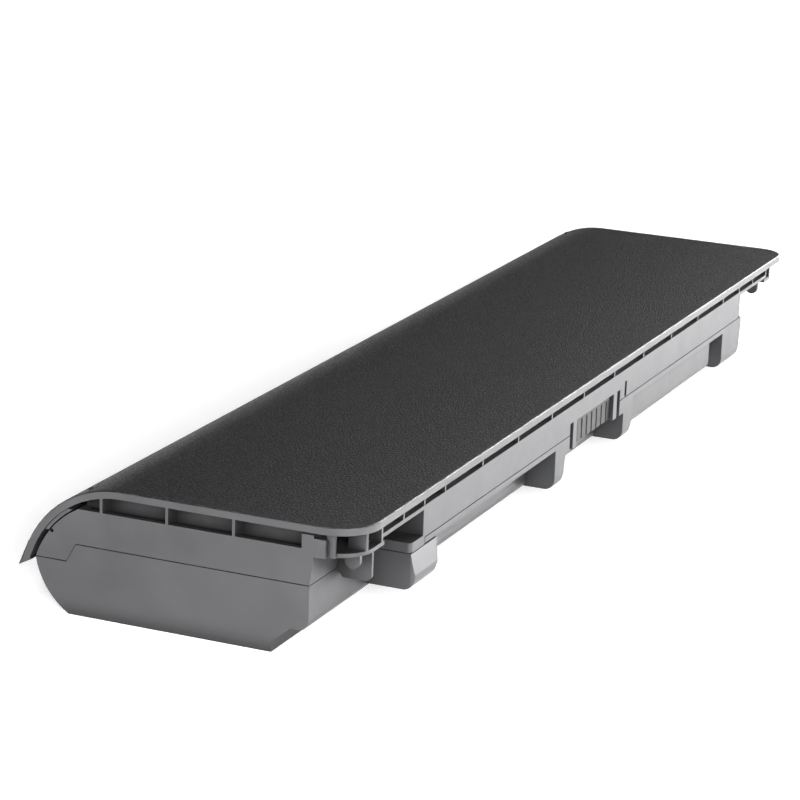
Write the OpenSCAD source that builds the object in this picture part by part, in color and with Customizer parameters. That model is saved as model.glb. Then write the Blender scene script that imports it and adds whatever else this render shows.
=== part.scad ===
// Six-cell laptop battery, lying on its base with the cover up.
// X runs along its length from the near end to the far end, Y across it, Z up.
// The side with the contacts and the latch recesses faces -Y, the rolled edge of the cover +Y.
// The origin is the middle of the footprint, on the surface that the battery rests on.

/* [Cells] */
// Diameter of one cell with its sleeve
cell_d = 18.2; // [17.6:0.1:19.4]
// Length of one cell
cell_l = 65; // [62:0.5:70]
// Gap between the two rows of cells
row_gap = 0.6; // [0.4:0.1:1.5]
// Gap between the ends of two cells in one row
end_gap = 1; // [0.9:0.1:2]
// Clearance between a cell and the case
cell_clear = 0.2; // [0.1:0.05:0.4]
// Thickness of the nickel strips
strip_t = 0.2; // [0.1:0.05:0.3]
// Width of the nickel strips
strip_w = 8; // [6:0.5:10]
// Thickness of the saddles and spacers that hold the cells
saddle_t = 1.2; // [0.8:0.1:2]
// Length of a foam pad
pad_l = 20; // [12:1:40]
// Height of a foam pad
pad_h = 2.6; // [2:0.1:3]

/* [Cover] */
// Thickness of the cover's skin
cover_t = 1.2; // [1:0.1:1.4]
// Thickness of the cover above the top of the cells
roof_t = 1; // [0.8:0.1:1.2]
// Radius of the edge that rolls down on the left
roll_r = 17; // [16.5:0.1:18]
// Height of the tip of the rolled edge above the table
tip_z = 6.4; // [5.5:0.1:7]
// Clearance between the left row of cells and the web under the rolled edge
web_clear = 0.28; // [0.2:0.02:0.6]
// Gap between the rolled edge and the body under it
roll_gap = 0.8; // [0.7:0.1:1]
// Height below which the rolled edge runs straight
flare_z = 10; // [9.5:0.1:11]
// Radius of the near right corner of the cover, seen from above
corner_r = 6.5; // [5:0.1:7]
// Radius of the far right corner of the cover
corner_far_r = 4.8; // [4:0.1:7]
// Width of the bevel round the cover's top edge
bevel = 0.15; // [0.1:0.05:0.3]
// Gap between the shoulder and the ledge that half closes the roll's open end
ledge_gap = 0.25; // [0.2:0.05:0.4]
// Height of the lower end of that ledge
ledge_low_z = 12.7; // [12:0.1:13.5]

/* [Body] */
// Thickness of the case walls
wall_t = 1.2; // [1:0.1:1.3]
// Thickness of the base under the cells
floor_t = 0.9; // [0.7:0.1:1.2]
// Thickness of the base between the cells
base_t = 1.4; // [1:0.1:2]
// Room between the right row of cells and the side wall
side_gap = 0.95; // [0.8:0.05:1.5]
// Room between the last cell and the far end wall, and at the near end the same
end_room = 0.5; // [0.4:0.1:1]
// Height of the line where the two halves meet
part_z = 11.1; // [10.5:0.1:11.2]
// Width of the fine gap that shows along the meeting line
part_gap = 0.15; // [0.1:0.05:0.25]
// Height of that line under the rolled edge
part_tip_z = 8.2; // [7.5:0.1:8.5]
// How far that line's step lies from the middle of the left row of cells
part_step_out = 8.45; // [8:0.05:10]
// Width of the step
part_step_w = 1.6; // [1:0.1:2]
// Radius of the belly on the left
belly_r = 12; // [11.5:0.1:12.5]
// Height of the centre of the belly's arc
belly_z = 10.3; // [10:0.1:10.6]
// Thickness of the wall that follows the right row of cells
step_wall = 0.7; // [0.6:0.1:0.9]
// Distance from the side wall to the edge of the flat base
step_in = 5.9; // [5.5:0.1:6.3]
// Height of the ledge beside the flat base
ledge_z = 4.2; // [3.8:0.1:4.5]
// Radius of the outer edge of the ledge
ledge_r = 1.5; // [1:0.1:1.6]
// Lean of the side wall above the meeting line
wall_lean = 0.5; // [0:0.1:0.6]
// Depth of the shallow recess in the base
recess_d = 0.25; // [0.1:0.05:0.4]

/* [Groove under the rim] */
// How far the cover stands out past the far end wall
far_out = 2.5; // [2:0.1:3]
// Depth of the groove, from the outer face to its back wall
groove_d = 2.5; // [2:0.1:3]
// Thickness of the groove's back wall and of its floor
back_t = 0.8; // [0.6:0.1:1]
// How far the groove's channel goes down behind the outer wall
channel_d = 2; // [1.5:0.1:2.3]
// Thickness of the outer wall in front of the channel
lip_t = 1; // [0.8:0.1:1.2]
// Height of the top of the near end wall
end_top_z = 16.75; // [16.5:0.05:17]
// Thickness of the small ribs in the groove
rib_t = 0.45; // [0.4:0.05:0.8]
// Distance between two ribs along the side
rib_pitch = 15.05; // [12:0.05:20]
// Distance between two ribs at the ends
end_rib_pitch = 10.95; // [9:0.05:11.5]

/* [Shelf on the right] */
// How far the rim stands out past the shelf's outer wall
rim_out = 1; // [0.8:0.1:1.2]
// Width of the shelf, from its outer wall to the body's side wall
shelf_w = 7.1; // [6.5:0.1:8]
// Distance from the near end of the cover to the shelf
shelf_near = 24.9; // [24:0.1:28]
// Distance from the far end of the cover to the shelf
shelf_far = 26.3; // [25:0.1:28]
// Height of the underside of the shelf
shelf_z = 11.4; // [11.3:0.1:11.6]
// Height of the meeting line along the shelf
shelf_part_z = 12.3; // [12.1:0.1:12.5]
// Height of the top of the shelf's outer wall
shelf_top_z = 17.5; // [17.3:0.1:17.7]
// How far the body's wall stands out under the shelf
mid_out = 2.1; // [1.8:0.1:2.4]
// How far the electronics bay's wall lies behind the shelf's outer wall
bay_in = 0.8; // [0.5:0.1:1]
// Height of the underside of the electronics bay
bay_z = 5.6; // [5.2:0.1:6]
// Length of the electronics bay
bay_l = 45; // [42:0.5:48]
// Distance from the shelf's near end to the step in the meeting line
line_step_in = 0.8; // [0.6:0.1:1.2]

/* [Feet] */
// Height of the underside of the feet
foot_z = 4.5; // [4.3:0.1:5]
// Height of the underside of the first foot
foot_near_z = 5.4; // [5:0.1:5.8]
// Radius of the outer lower edge of the feet
foot_r = 1.8; // [1:0.1:2]
// Distance from the near end of the cover to the first foot
foot_near = 20.5; // [20:0.1:21.5]
// Length of the first foot
foot_near_l = 9.8; // [9:0.1:11]
// How far the first foot spreads outward at the bottom
foot_spread = 0.6; // [0:0.1:0.8]
// Radius of the upright near edge of the first foot
foot_edge_r = 0.7; // [0.4:0.1:1]
// Length of the two feet beside the contacts
foot_mid_l = 5; // [4.5:0.1:5.5]
// Length of the last foot
foot_far_l = 11.3; // [10:0.1:12]
// How far the last foot reaches past the shelf
foot_far_out = 2; // [1:0.1:2.5]
// Draft of the far face of a foot over its height
foot_draft = 1.2; // [0.5:0.1:1.5]
// How far the first foot's inner edge leans from the shelf's wall to the body
foot_lean = 1.3; // [0.8:0.1:1.6]

/* [Latch recesses] */
// Height of the floor of the near latch recess
latch_z = 12.8; // [12.6:0.1:13.2]
// Height of the roof plate over the latch recesses
latch_roof_z = 16.9; // [16.7:0.1:17]
// Distance from the end of the cover to the latch web
web_in = 9.7; // [9.2:0.1:10]
// Thickness of the latch web
web_t = 0.6; // [0.5:0.1:0.9]
// Height of the lower edge of the latch web
web_z = 9.8; // [9.5:0.1:10.5]
// Width of the latch web
web_w = 5.5; // [4.6:0.1:5.8]
// Height of the underside of the near corner cage
cage_z = 15.7; // [15.5:0.1:15.8]
// Height of the underside of the far corner cage
cage_far_z = 16.1; // [15.9:0.1:16.3]
// Thickness of the corner cage's lower plate
cage_t = 0.6; // [0.5:0.1:0.8]
// How far the far corner cage stays back from the far end
cage_far_in = 6.9; // [6:0.1:7.5]
// Distance from the near end to the first rib of the near cage
cage_rib_in = 4.6; // [4:0.1:6]
// Distance from the body's side wall to the post of the near cage
cage_post_in = 2.4; // [2.2:0.1:2.8]
// Width of that post
cage_post_w = 1.2; // [1:0.1:1.5]
// Thickness of that post along the battery
cage_post_t = 0.4; // [0.3:0.1:0.8]
// Width of the half-round tab under the cage
tab_w = 2.4; // [2:0.1:3]
// How far that tab hangs down
tab_drop = 3; // [2.7:0.1:3.4]
// Distance from the near end to the near tab
tab_in = 6; // [5.5:0.1:6.5]
// Thickness of the tab
tab_t = 0.8; // [0.6:0.1:1]

/* [Contacts] */
// Place of the contact block along the battery, from the middle
contact_x = -3.05; // [-5:0.05:-2]
// Length of the contact block's face
contact_l = 18; // [17.5:0.1:18.5]
// Height of the lower edge of the contact recess
contact_z = 9.6; // [9.4:0.1:9.8]
// Height of the upper edge of the contact recess
contact_top_z = 14.4; // [14.2:0.1:14.6]
// How far the contact block's face lies behind the shelf's outer wall
contact_in = 0.7; // [0.4:0.1:1]
// Number of contacts
contact_n = 7; // [5:1:7]
// Distance between two contacts
contact_pitch = 2.4; // [2.2:0.05:2.45]
// Width of the slot for one contact
contact_slot = 0.6; // [0.6:0.05:1]
// Width of the two guide slots
guide_slot = 1.5; // [0.8:0.1:1.6]
// Distance from the contact block to a guide slot
guide_gap = 1.75; // [1.5:0.05:2]
// Clearance round the contact block
contact_clear = 0.2; // [0.1:0.05:0.3]

/* [Board] */
// Length of the protection board
board_l = 76; // [75:0.5:77]
// Thickness of the board
board_t = 0.8; // [0.6:0.1:1]
// Height of the lower edge of the board
board_z = 6.6; // [6.4:0.1:7]
// Height of the board
board_h = 11.4; // [11:0.1:11.6]
// Gap between the board and the wall beside it
board_gap = 0.4; // [0.3:0.05:0.5]
// Room round the parts on the board, along it
chip_gap = 1.5; // [1:0.1:1.7]
// Distance from the far end of the middle cells to the thermistor
therm_in = 12; // [8:0.5:20]
// Diameter of the two main leads
lead_d = 1.4; // [1.2:0.1:1.5]
// Diameter of the thin sense leads
sense_d = 0.8; // [0.6:0.1:0.9]

/* [Hidden] */
$fn = 96;

// Colours
case_black = [0.13, 0.13, 0.14];
block_black = [0.22, 0.22, 0.23];
sleeve_green = [0.16, 0.42, 0.34];
nickel = [0.72, 0.71, 0.68];
board_green = [0.05, 0.3, 0.18];
chip_black = [0.08, 0.08, 0.09];

// Heights worked out from the cells
cell_r = cell_d / 2;
bore_r = cell_r + cell_clear;
cell_z = floor_t + bore_r;
case_h = cell_z + bore_r + roof_t;
skin_z = case_h - cover_t;

// Length worked out from the cells
rows_l = 3 * cell_l + 2 * end_gap;
case_l = groove_d + back_t + end_room + rows_l + end_room + wall_t + far_out;
near_x = -case_l / 2;
far_x = case_l / 2;
cells_x = near_x + groove_d + back_t + end_room;
end_x = far_x - far_out;

// Width worked out from the cells
// The rolled edge stands where its shoulder just clears the left row of cells at the top of the end wall
roll_z = case_h - roll_r;
flare_angle = asin((flare_z - roll_z) / roll_r);
shoulder_r = roll_r - cover_t - roll_gap;
cell_reach = sqrt(pow(bore_r, 2) - pow(end_top_z - cell_z, 2));
shoulder_reach = sqrt(pow(shoulder_r, 2) - pow(end_top_z - roll_z, 2));
roll_off = cell_reach + web_clear + wall_t - shoulder_reach;
roll_out = roll_r * cos(flare_angle) + (flare_z - tip_z) * tan(flare_angle);
case_w = rim_out + shelf_w + wall_t + side_gap + 1.5 * cell_d + row_gap + roll_off + roll_out;
rim_y = -case_w / 2;
shelf_y = rim_y + rim_out;
wall_y = shelf_y + shelf_w;
mid_y = wall_y - mid_out;
right_y = wall_y + wall_t + side_gap + cell_r;
left_y = right_y + cell_d + row_gap;
step_y = wall_y + step_in;
step_r = bore_r + step_wall;

// Arcs of the rolled edge, of the shoulder under it and of the belly
roll_y = left_y + roll_off;
shoulder_y = roll_y + sqrt(pow(shoulder_r, 2) - pow(part_tip_z - roll_z, 2));
belly_y = shoulder_y - sqrt(pow(belly_r, 2) - pow(part_tip_z - belly_z, 2));
tip_slope = 0.53;

// Where the near end wall meets the shoulder
groove_left_y = roll_y + shoulder_reach;
web_near_y = groove_left_y - wall_t;

// The meeting line steps down on the left
part_step_y = left_y + part_step_out;

// Shelf, feet and recesses along X
shelf_x0 = near_x + shelf_near;
shelf_x1 = far_x - shelf_far;
part_step_x = shelf_x0 + line_step_in;
foot_1_x = near_x + foot_near;
foot_4_x = shelf_x1 + foot_far_out - foot_far_l;
guide_0 = contact_x - contact_l / 2 - guide_gap - guide_slot;
guide_1 = contact_x + contact_l / 2 + guide_gap;
foot_2_x = guide_0 - 1.5 - foot_mid_l;
foot_3_x = guide_1 + guide_slot + 2.2;
pocket_x0 = foot_2_x + foot_mid_l;
pocket_x1 = foot_3_x;
bay_x0 = foot_3_x + foot_mid_l;
bay_x1 = bay_x0 + bay_l;
web_x0 = near_x + web_in;
web_x1 = far_x - web_in;
floor_x0 = near_x + wall_t;
floor_x1 = end_x - wall_t;

// Board and what is on it
board_x0 = bay_x1 - wall_t - board_l;
board_x1 = board_x0 + board_l;
board_y = mid_y + wall_t + board_gap;
board_back_y = board_y + board_t;
board_top = board_z + board_h;
chip_t = 1.2;
gauge_l = 6.4;
mosfet_l = 5;
chip_z = board_z + 1;
small_x = bay_x0 + 2 * chip_gap;
gauge_x = small_x + 5.3 + chip_gap;
protector_x = gauge_x + gauge_l + chip_gap;
mosfet_x = protector_x + mosfet_l + chip_gap;
shunt_x = mosfet_x + 2 * (mosfet_l + chip_gap);
fuse_x = contact_x + contact_l / 2 + 0.4;
lead_z = skin_z - 0.6 - lead_d;
lead_y = wall_y + wall_t + side_gap + 0.1 + lead_d / 4;
sense_z = lead_z - lead_d / 2 - sense_d / 2 - 0.5;
sense_y = lead_y - 0.35;
sheet_t = 0.2;
sheet_y = board_back_y + 0.25;
sheet_in = 5;

// The foam pads lie beside the left row, up to the belly
pad_z = cell_z - 1.6;
pad_reach = 12;

// How far the saddles stay back from the lowest line of the cells
saddle_reach = bore_r * 0.5;

// The post of a cage, and the wall behind it
cage_post_y = wall_y - cage_post_in;
cage_back_y = wall_y - wall_lean + 0.5;

// Extrude an outline in Y and Z along X
module along_x(x_from, x_to) {
    translate([x_from, 0, 0])
        rotate([90, 0, 90])
            linear_extrude(height = x_to - x_from)
                children();
}

// Extrude an outline in X and Z along Y
module along_y(y_from, y_to) {
    translate([0, y_to, 0])
        rotate([90, 0, 0])
            linear_extrude(height = y_to - y_from)
                children();
}

// A block between two corners
module block(from, to) {
    translate(from)
        cube(to - from);
}

// A rectangle between two corners
module pane(from, to) {
    translate(from)
        square(to - from);
}

// A pane whose corner nearest to the first point is round
module soft_pane(from, to, r) {
    pane(from + [r, 0], to);
    pane(from + [0, r], to);
    translate(from + [r, r])
        circle(r = r);
}

// Both rows of cells, seen along X, as two discs
module row_discs(r) {
    for (y = [right_y, left_y])
        translate([y, cell_z])
            circle(r = r);
}

// Outline of the body in Y and Z, without the cover. inset gives the inside.
module body_outline(side_y, inset) {
    low_z = inset > 0 ? base_t : 0;
    // Left side: belly below the meeting line, shoulder above it
    intersection() {
        translate([belly_y, belly_z])
            circle(r = belly_r - inset);
        pane([belly_y - 1, low_z], [case_w, part_tip_z]);
    }
    intersection() {
        translate([roll_y, roll_z])
            circle(r = shoulder_r - inset);
        pane([belly_y - 1, part_tip_z], [case_w, end_top_z]);
    }
    // Middle
    pane([inset > 0 ? right_y : step_y, low_z], [belly_y, end_top_z]);
    // Right side above the ledge, and the round step that follows the cells
    soft_pane([side_y + inset, ledge_z + inset], [right_y, end_top_z], max(ledge_r - inset, 0.3));
    intersection() {
        translate([right_y, cell_z])
            circle(r = step_r - min(inset, step_wall));
        pane([wall_y, 0], [right_y, cell_z]);
    }
}

// All that lies below the meeting line of the two halves, in Y and Z
module below_parting(z) {
    polygon([[-case_w, -1], [case_w, -1], [case_w, part_tip_z], [part_step_y + part_step_w, part_tip_z],
        [part_step_y, z], [-case_w, z]]);
}

// All that lies above it
module above_parting(z) {
    polygon([[-case_w, z], [part_step_y, z], [part_step_y + part_step_w, part_tip_z], [case_w, part_tip_z],
        [case_w, case_h], [-case_w, case_h]]);
}

// Outline of a foot in Y and Z. It is soft at its lower outer edge.
module foot_outline(top_z) {
    soft_pane([shelf_y, foot_z], [mid_y + wall_t, foot_z + foot_r + 0.5], foot_r);
    pane([shelf_y, foot_z + foot_r], [mid_y + wall_t, top_z]);
}

// Outline of the first foot. It spreads outward, and its inner edge leans in to the body.
module near_foot_outline() {
    out_y = shelf_y - foot_spread;
    knee_z = foot_near_z + foot_r;
    difference() {
        polygon([[out_y, foot_near_z], [wall_y + 0.2, foot_near_z], [wall_y + 0.2, part_z - 3],
            [wall_y - foot_lean, part_z], [shelf_y, part_z], [out_y, knee_z + 0.5]]);
        difference() {
            pane([out_y - 1, foot_near_z - 1], [out_y + foot_r, knee_z]);
            translate([out_y + foot_r, knee_z])
                circle(r = foot_r);
        }
    }
}

// The same foot in X and Z, drafted and soft at its far end
module foot_side(x_from, length, low_z, top_z) {
    far_low = x_from + length - foot_draft;
    difference() {
        polygon([[x_from, low_z], [far_low, low_z], [x_from + length, shelf_z], [x_from + length, top_z],
            [x_from, top_z]]);
        difference() {
            pane([far_low - foot_r, low_z - 1], [x_from + length, low_z + foot_r]);
            translate([far_low - foot_r, low_z + foot_r])
                circle(r = foot_r);
        }
    }
}

// One foot under the shelf, cored from the inside as a moulding is
module foot(x_from, length) {
    top_z = shelf_part_z;
    intersection() {
        along_x(x_from, x_from + length)
            difference() {
                foot_outline(top_z);
                pane([shelf_y + wall_t, foot_z + wall_t], [case_w, case_h]);
            }
        along_y(-case_w, case_w)
            foot_side(x_from, length, foot_z, top_z);
    }
    along_x(x_from, x_from + wall_t)
        foot_outline(top_z);
    intersection() {
        along_x(x_from + length - foot_draft - wall_t, x_from + length - foot_draft)
            foot_outline(top_z);
        along_y(-case_w, case_w)
            foot_side(x_from, length, foot_z, top_z);
    }
}

// The first foot, which stands against the body and carries the slab of the near latch recess
module near_foot() {
    far_x_low = foot_1_x + foot_near_l;
    difference() {
        intersection() {
            along_x(foot_1_x, far_x_low)
                near_foot_outline();
            along_y(-case_w, case_w)
                foot_side(foot_1_x, foot_near_l, foot_near_z, part_z);
        }
        foot_edge(foot_near_z - 1, part_z + 1);
        // Cored from the inside
        block([foot_1_x + wall_t, shelf_y + wall_t, foot_near_z + wall_t],
            [far_x_low - foot_draft - wall_t, mid_y + wall_t, part_z + 1]);
    }
}

// What rounds the upright near edge of the first foot and of the slab above it
module foot_edge(z_from, z_to) {
    out_y = shelf_y - foot_spread;
    translate([foot_1_x, out_y, z_from])
        linear_extrude(height = z_to - z_from)
            difference() {
                translate([-1, -1])
                    square([1 + foot_edge_r, 1 + foot_edge_r]);
                translate([foot_edge_r, foot_edge_r])
                    circle(r = foot_edge_r);
            }
}

// Holder for one end of the board: a block with a slot
module board_holder(x) {
    difference() {
        block([x, mid_y + wall_t / 2, ledge_z + wall_t / 2], [x + 3, board_back_y + 0.9, board_z + 1.4]);
        block([x - 1, board_y - 0.1, board_z], [x + 4, board_back_y + 0.1, board_z + 2]);
        translate([x - 1, right_y, cell_z])
            rotate([0, 90, 0])
                cylinder(r = bore_r, h = 5);
    }
}

module lower_case() {
    color(case_black) {
        difference() {
            union() {
                // Body
                along_x(near_x, end_x)
                    intersection() {
                        body_outline(wall_y, 0);
                        below_parting(part_z);
                    }
                // The wall stands further out under the shelf
                along_x(foot_1_x + foot_near_l - wall_t, foot_4_x + foot_far_l - foot_draft)
                    soft_pane([mid_y, ledge_z], [wall_y + wall_t, part_z], ledge_r);
                along_x(foot_1_x + wall_t, foot_1_x + foot_near_l)
                    pane([mid_y, foot_near_z + 1], [wall_y + wall_t, part_z]);
                along_x(part_step_x, shelf_x1)
                    pane([mid_y, part_z - 1], [wall_y + wall_t, shelf_part_z]);
                // Shelf
                block([part_step_x, shelf_y, shelf_z], [shelf_x1, mid_y + wall_t, shelf_part_z]);
                // Electronics bay
                along_x(bay_x0 - wall_t, bay_x1)
                    soft_pane([shelf_y + bay_in, bay_z], [mid_y + wall_t, shelf_part_z], ledge_r);
                // Pocket behind the contact block
                block([pocket_x0 - 1, shelf_y, contact_z], [pocket_x1 + 1, mid_y + wall_t, shelf_part_z]);
                near_foot();
                foot(foot_2_x, foot_mid_l);
                foot(foot_3_x, foot_mid_l);
                foot(foot_4_x, foot_far_l);
            }
            // Room for the cells
            along_x(floor_x0, floor_x1)
                body_outline(wall_y, wall_t);
            translate([cells_x - end_room, 0, 0])
                along_x(0, rows_l + 2 * end_room)
                    row_discs(bore_r);
            // Room beside them, under the shelf
            along_x(part_step_x + wall_t, shelf_x1 - wall_t)
                pane([mid_y + wall_t, ledge_z + wall_t], [right_y, case_h]);
            // Electronics bay
            along_x(bay_x0, bay_x1 - wall_t)
                soft_pane([shelf_y + bay_in + wall_t, bay_z + wall_t], [right_y, case_h], ledge_r - 0.5);
            // Pocket, its open front and the guide slots
            block([pocket_x0 + 0.4, shelf_y + wall_t, contact_z + wall_t], [pocket_x1 - 0.4, right_y, case_h]);
            block([contact_x - contact_l / 2, shelf_y - 1, contact_z - 1],
                [contact_x + contact_l / 2, shelf_y + 2 * wall_t, case_h]);
            guide_slots();
            // Shallow recess in the base
            block([near_x + 25, step_y + 2, -1], [far_x - 25, left_y + 6, recess_d]);
        }
        board_holder(board_x0 + 1);
        board_holder(board_x1 - 4);
    }
}

// The two narrow slots beside the contacts, through both halves
module guide_slots() {
    for (x = [guide_0, guide_1])
        block([x, shelf_y - 1, contact_z - 1], [x + guide_slot, shelf_y + 3, contact_top_z]);
}

// Plan of the cover: round at its two right corners. inset shrinks it.
module cover_plan(inset) {
    y = rim_y + inset;
    near_r = corner_r - inset;
    far_r = corner_far_r - inset;
    translate([near_x + corner_r, rim_y + corner_r])
        circle(r = near_r);
    translate([far_x - corner_far_r, rim_y + corner_far_r])
        circle(r = far_r);
    pane([near_x + corner_r, y], [far_x - corner_far_r, rim_y + corner_r]);
    pane([near_x + inset, rim_y + corner_r], [0, case_w]);
    pane([0, rim_y + corner_far_r], [far_x - inset, case_w]);
}

// A disc that runs on straight below the flare, where the rolled edge leaves its arc
module roll_solid(r) {
    circle(r = r, $fn = 180);
    rotate(flare_angle)
        translate([-r, -r])
            square([2 * r - 0.0005, r]);
}

// Skin of the cover in Y and Z: flat, rolled down, straight at last, and cut at a slant at its tip
module cover_outline() {
    pane([rim_y, skin_z], [roll_y, case_h]);
    difference() {
        intersection() {
            translate([roll_y, roll_z])
                difference() {
                    roll_solid(roll_r);
                    roll_solid(roll_r - cover_t);
                }
            pane([roll_y, 0], [case_w, case_h + 1]);
        }
        polygon([[case_w / 2 + 2, tip_z - 2 * tip_slope], [case_w / 2 - 4, tip_z + 4 * tip_slope],
            [case_w / 2 - 4, -case_h], [case_w / 2 + 8, -case_h]]);
    }
    // Hook inside the tip
    polygon([[case_w / 2 - 0.6, tip_z + 0.6 * tip_slope], [case_w / 2 - 2.1, tip_z + 2.1 * tip_slope],
        [case_w / 2 - 1.75, tip_z + 2.1], [case_w / 2 - 1.3, tip_z + 2.1]]);
}

// What the bevel takes off the cover's top edge
module rim_bevel() {
    cut = 2 * bevel;
    // Right edge
    along_x(near_x + corner_r, far_x - corner_far_r)
        polygon([[rim_y - bevel, case_h + bevel], [rim_y - bevel, case_h - cut], [rim_y + cut, case_h + bevel]]);
    // Ends: corner, straight edge and rolled edge
    end_bevel(corner_r);
    mirror([1, 0, 0])
        end_bevel(corner_far_r);
}

// The same at the near end
module end_bevel(r) {
    cut = 2 * bevel;
    along_y(rim_y + r, roll_y)
        polygon([[near_x - bevel, case_h + bevel], [near_x - bevel, case_h - cut], [near_x + cut, case_h + bevel]]);
    intersection() {
        translate([near_x + r, rim_y + r, case_h])
            rotate_extrude()
                polygon([[r - bevel, 0], [r + bevel, -cut], [r + bevel, bevel], [r - bevel, bevel]]);
        block([near_x - 1, rim_y - 1, skin_z], [near_x + r, rim_y + r, case_h + 1]);
    }
    intersection() {
        translate([near_x, roll_y, roll_z])
            rotate([0, 90, 0])
                rotate_extrude($fn = 180)
                    polygon([[roll_r - bevel, 0], [roll_r - bevel, -bevel], [roll_r + bevel, -bevel],
                        [roll_r + bevel, cut]]);
        block([near_x - 1, roll_y, flare_z + 0.5], [near_x + 2, case_w, case_h + 1]);
    }
}

// Shoulder under the rolled edge
module shoulder_outline() {
    difference() {
        intersection() {
            translate([roll_y, roll_z])
                circle(r = shoulder_r);
            pane([web_near_y, part_tip_z], [case_w, end_top_z]);
            above_parting(part_z);
        }
        translate([roll_y, roll_z])
            circle(r = shoulder_r - wall_t);
    }
}

// The web that joins the shoulder to the cover
module shoulder_web() {
    intersection() {
        difference() {
            translate([roll_y, roll_z])
                circle(r = roll_r - cover_t / 2);
            translate([roll_y, roll_z])
                circle(r = shoulder_r - wall_t);
        }
        pane([web_near_y, end_top_z - wall_t], [groove_left_y - 0.1, case_h]);
    }
}

// A ledge that half closes the gap between the shoulder and the rolled edge, at the near end
module shoulder_ledge() {
    intersection() {
        difference() {
            translate([roll_y, roll_z])
                circle(r = roll_r - cover_t / 2);
            translate([roll_y, roll_z])
                circle(r = shoulder_r + ledge_gap);
        }
        pane([groove_left_y, ledge_low_z], [case_w, end_top_z - 0.3]);
    }
}

// What is cut along the meeting line, so that it shows as a fine gap
module parting_gap() {
    deep = wall_t / 3;
    band = part_gap + part_z;
    // Ends
    for (x = [near_x - 1, end_x - deep])
        along_x(x, x + 1 + deep)
            intersection() {
                difference() {
                    translate([0, part_gap])
                        below_parting(part_z);
                    below_parting(part_z);
                }
                pane([wall_y - 0.3, 0], [shoulder_y + 0.2, case_h]);
            }
    // Left side, under the rolled edge
    along_x(near_x - 1, end_x + 1)
        pane([shoulder_y - deep, part_tip_z - 0.1], [shoulder_y + 0.2, part_tip_z + part_gap]);
    // Right side: beside the cells, round the slab of the near latch recess, and along the shelf
    for (x = [[near_x - 1, web_x0], [web_x0 + web_t, foot_1_x + 0.1], [shelf_x1 - 0.1, end_x + 1]])
        block([x[0], wall_y - 0.3, part_z - 0.1], [x[1], wall_y + deep, band]);
    block([foot_1_x - 1, shelf_y - 1, part_z - 0.1], [part_step_x, shelf_y + deep, band]);
    block([foot_1_x - 1, shelf_y - 1, part_z - 0.1], [foot_1_x + deep, wall_y - 0.2, band]);
    block([part_step_x - part_gap, shelf_y - 1, part_z - 0.1], [part_step_x + 0.1, shelf_y + deep, shelf_part_z]);
    for (x = [[part_step_x - part_gap, guide_0], [guide_1 + guide_slot, shelf_x1 + 1]])
        block([x[0], shelf_y - 1, shelf_part_z - 0.1], [x[1], shelf_y + deep, shelf_part_z + part_gap]);
}

// Upper part of the side wall beside the cells, leaning outward a little
module side_wall_outline() {
    lean_z = cage_z - 0.2;
    polygon([[wall_y, part_z], [wall_y - wall_lean, lean_z], [wall_y - wall_lean, skin_z + 0.1],
        [wall_y - wall_lean + wall_t, skin_z + 0.1], [wall_y - wall_lean + wall_t, lean_z],
        [wall_y + wall_t, part_z]]);
}

// Near end wall, the channel behind it and the groove's back wall
module near_end() {
    back_x = near_x + groove_d;
    floor_z = end_top_z - channel_d;
    along_x(near_x, near_x + lip_t) {
        intersection() {
            body_outline(wall_y, 0);
            above_parting(part_z);
            pane([wall_y, 0], [case_w, end_top_z]);
        }
        polygon([[wall_y + 1, part_z], [wall_y, part_z], [wall_y - wall_lean, cage_z - 0.2],
            [wall_y - wall_lean, end_top_z], [wall_y + 1, end_top_z]]);
    }
    block([near_x + lip_t / 2, wall_y, floor_z - back_t], [back_x + back_t, web_near_y + 0.7 * wall_t, floor_z]);
    block([back_x, wall_y, floor_z - back_t], [back_x + back_t, web_near_y + 0.7 * wall_t, skin_z + 0.1]);
    along_x(back_x, back_x + back_t)
        shoulder_ledge();
    along_x(near_x + 0.2, back_x + 0.1)
        shoulder_ledge();
    // Ribs in the groove
    for (i = [-1, 0, 1])
        block([near_x, rib_end_y(i), floor_z - 0.1], [back_x + 0.1, rib_end_y(i) + rib_t, skin_z + 0.1]);
    // Raised block beside the corner cage
    block([near_x, cage_post_y, cage_z], [near_x + lip_t, wall_y + 1.4, skin_z - 0.8]);
    block([near_x, wall_y - wall_lean, cage_z], [near_x + lip_t, wall_y + 1.4, skin_z - 0.35]);
    block([near_x + lip_t / 2, cage_post_y, cage_z], [back_x + back_t, wall_y + 1.4, cage_z + cage_t]);
}

// Place of one rib at either end, counted from the middle one
function rib_end_y(i) = (rim_y + roll_y) / 2 + 11.6 + i * end_rib_pitch;

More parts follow.
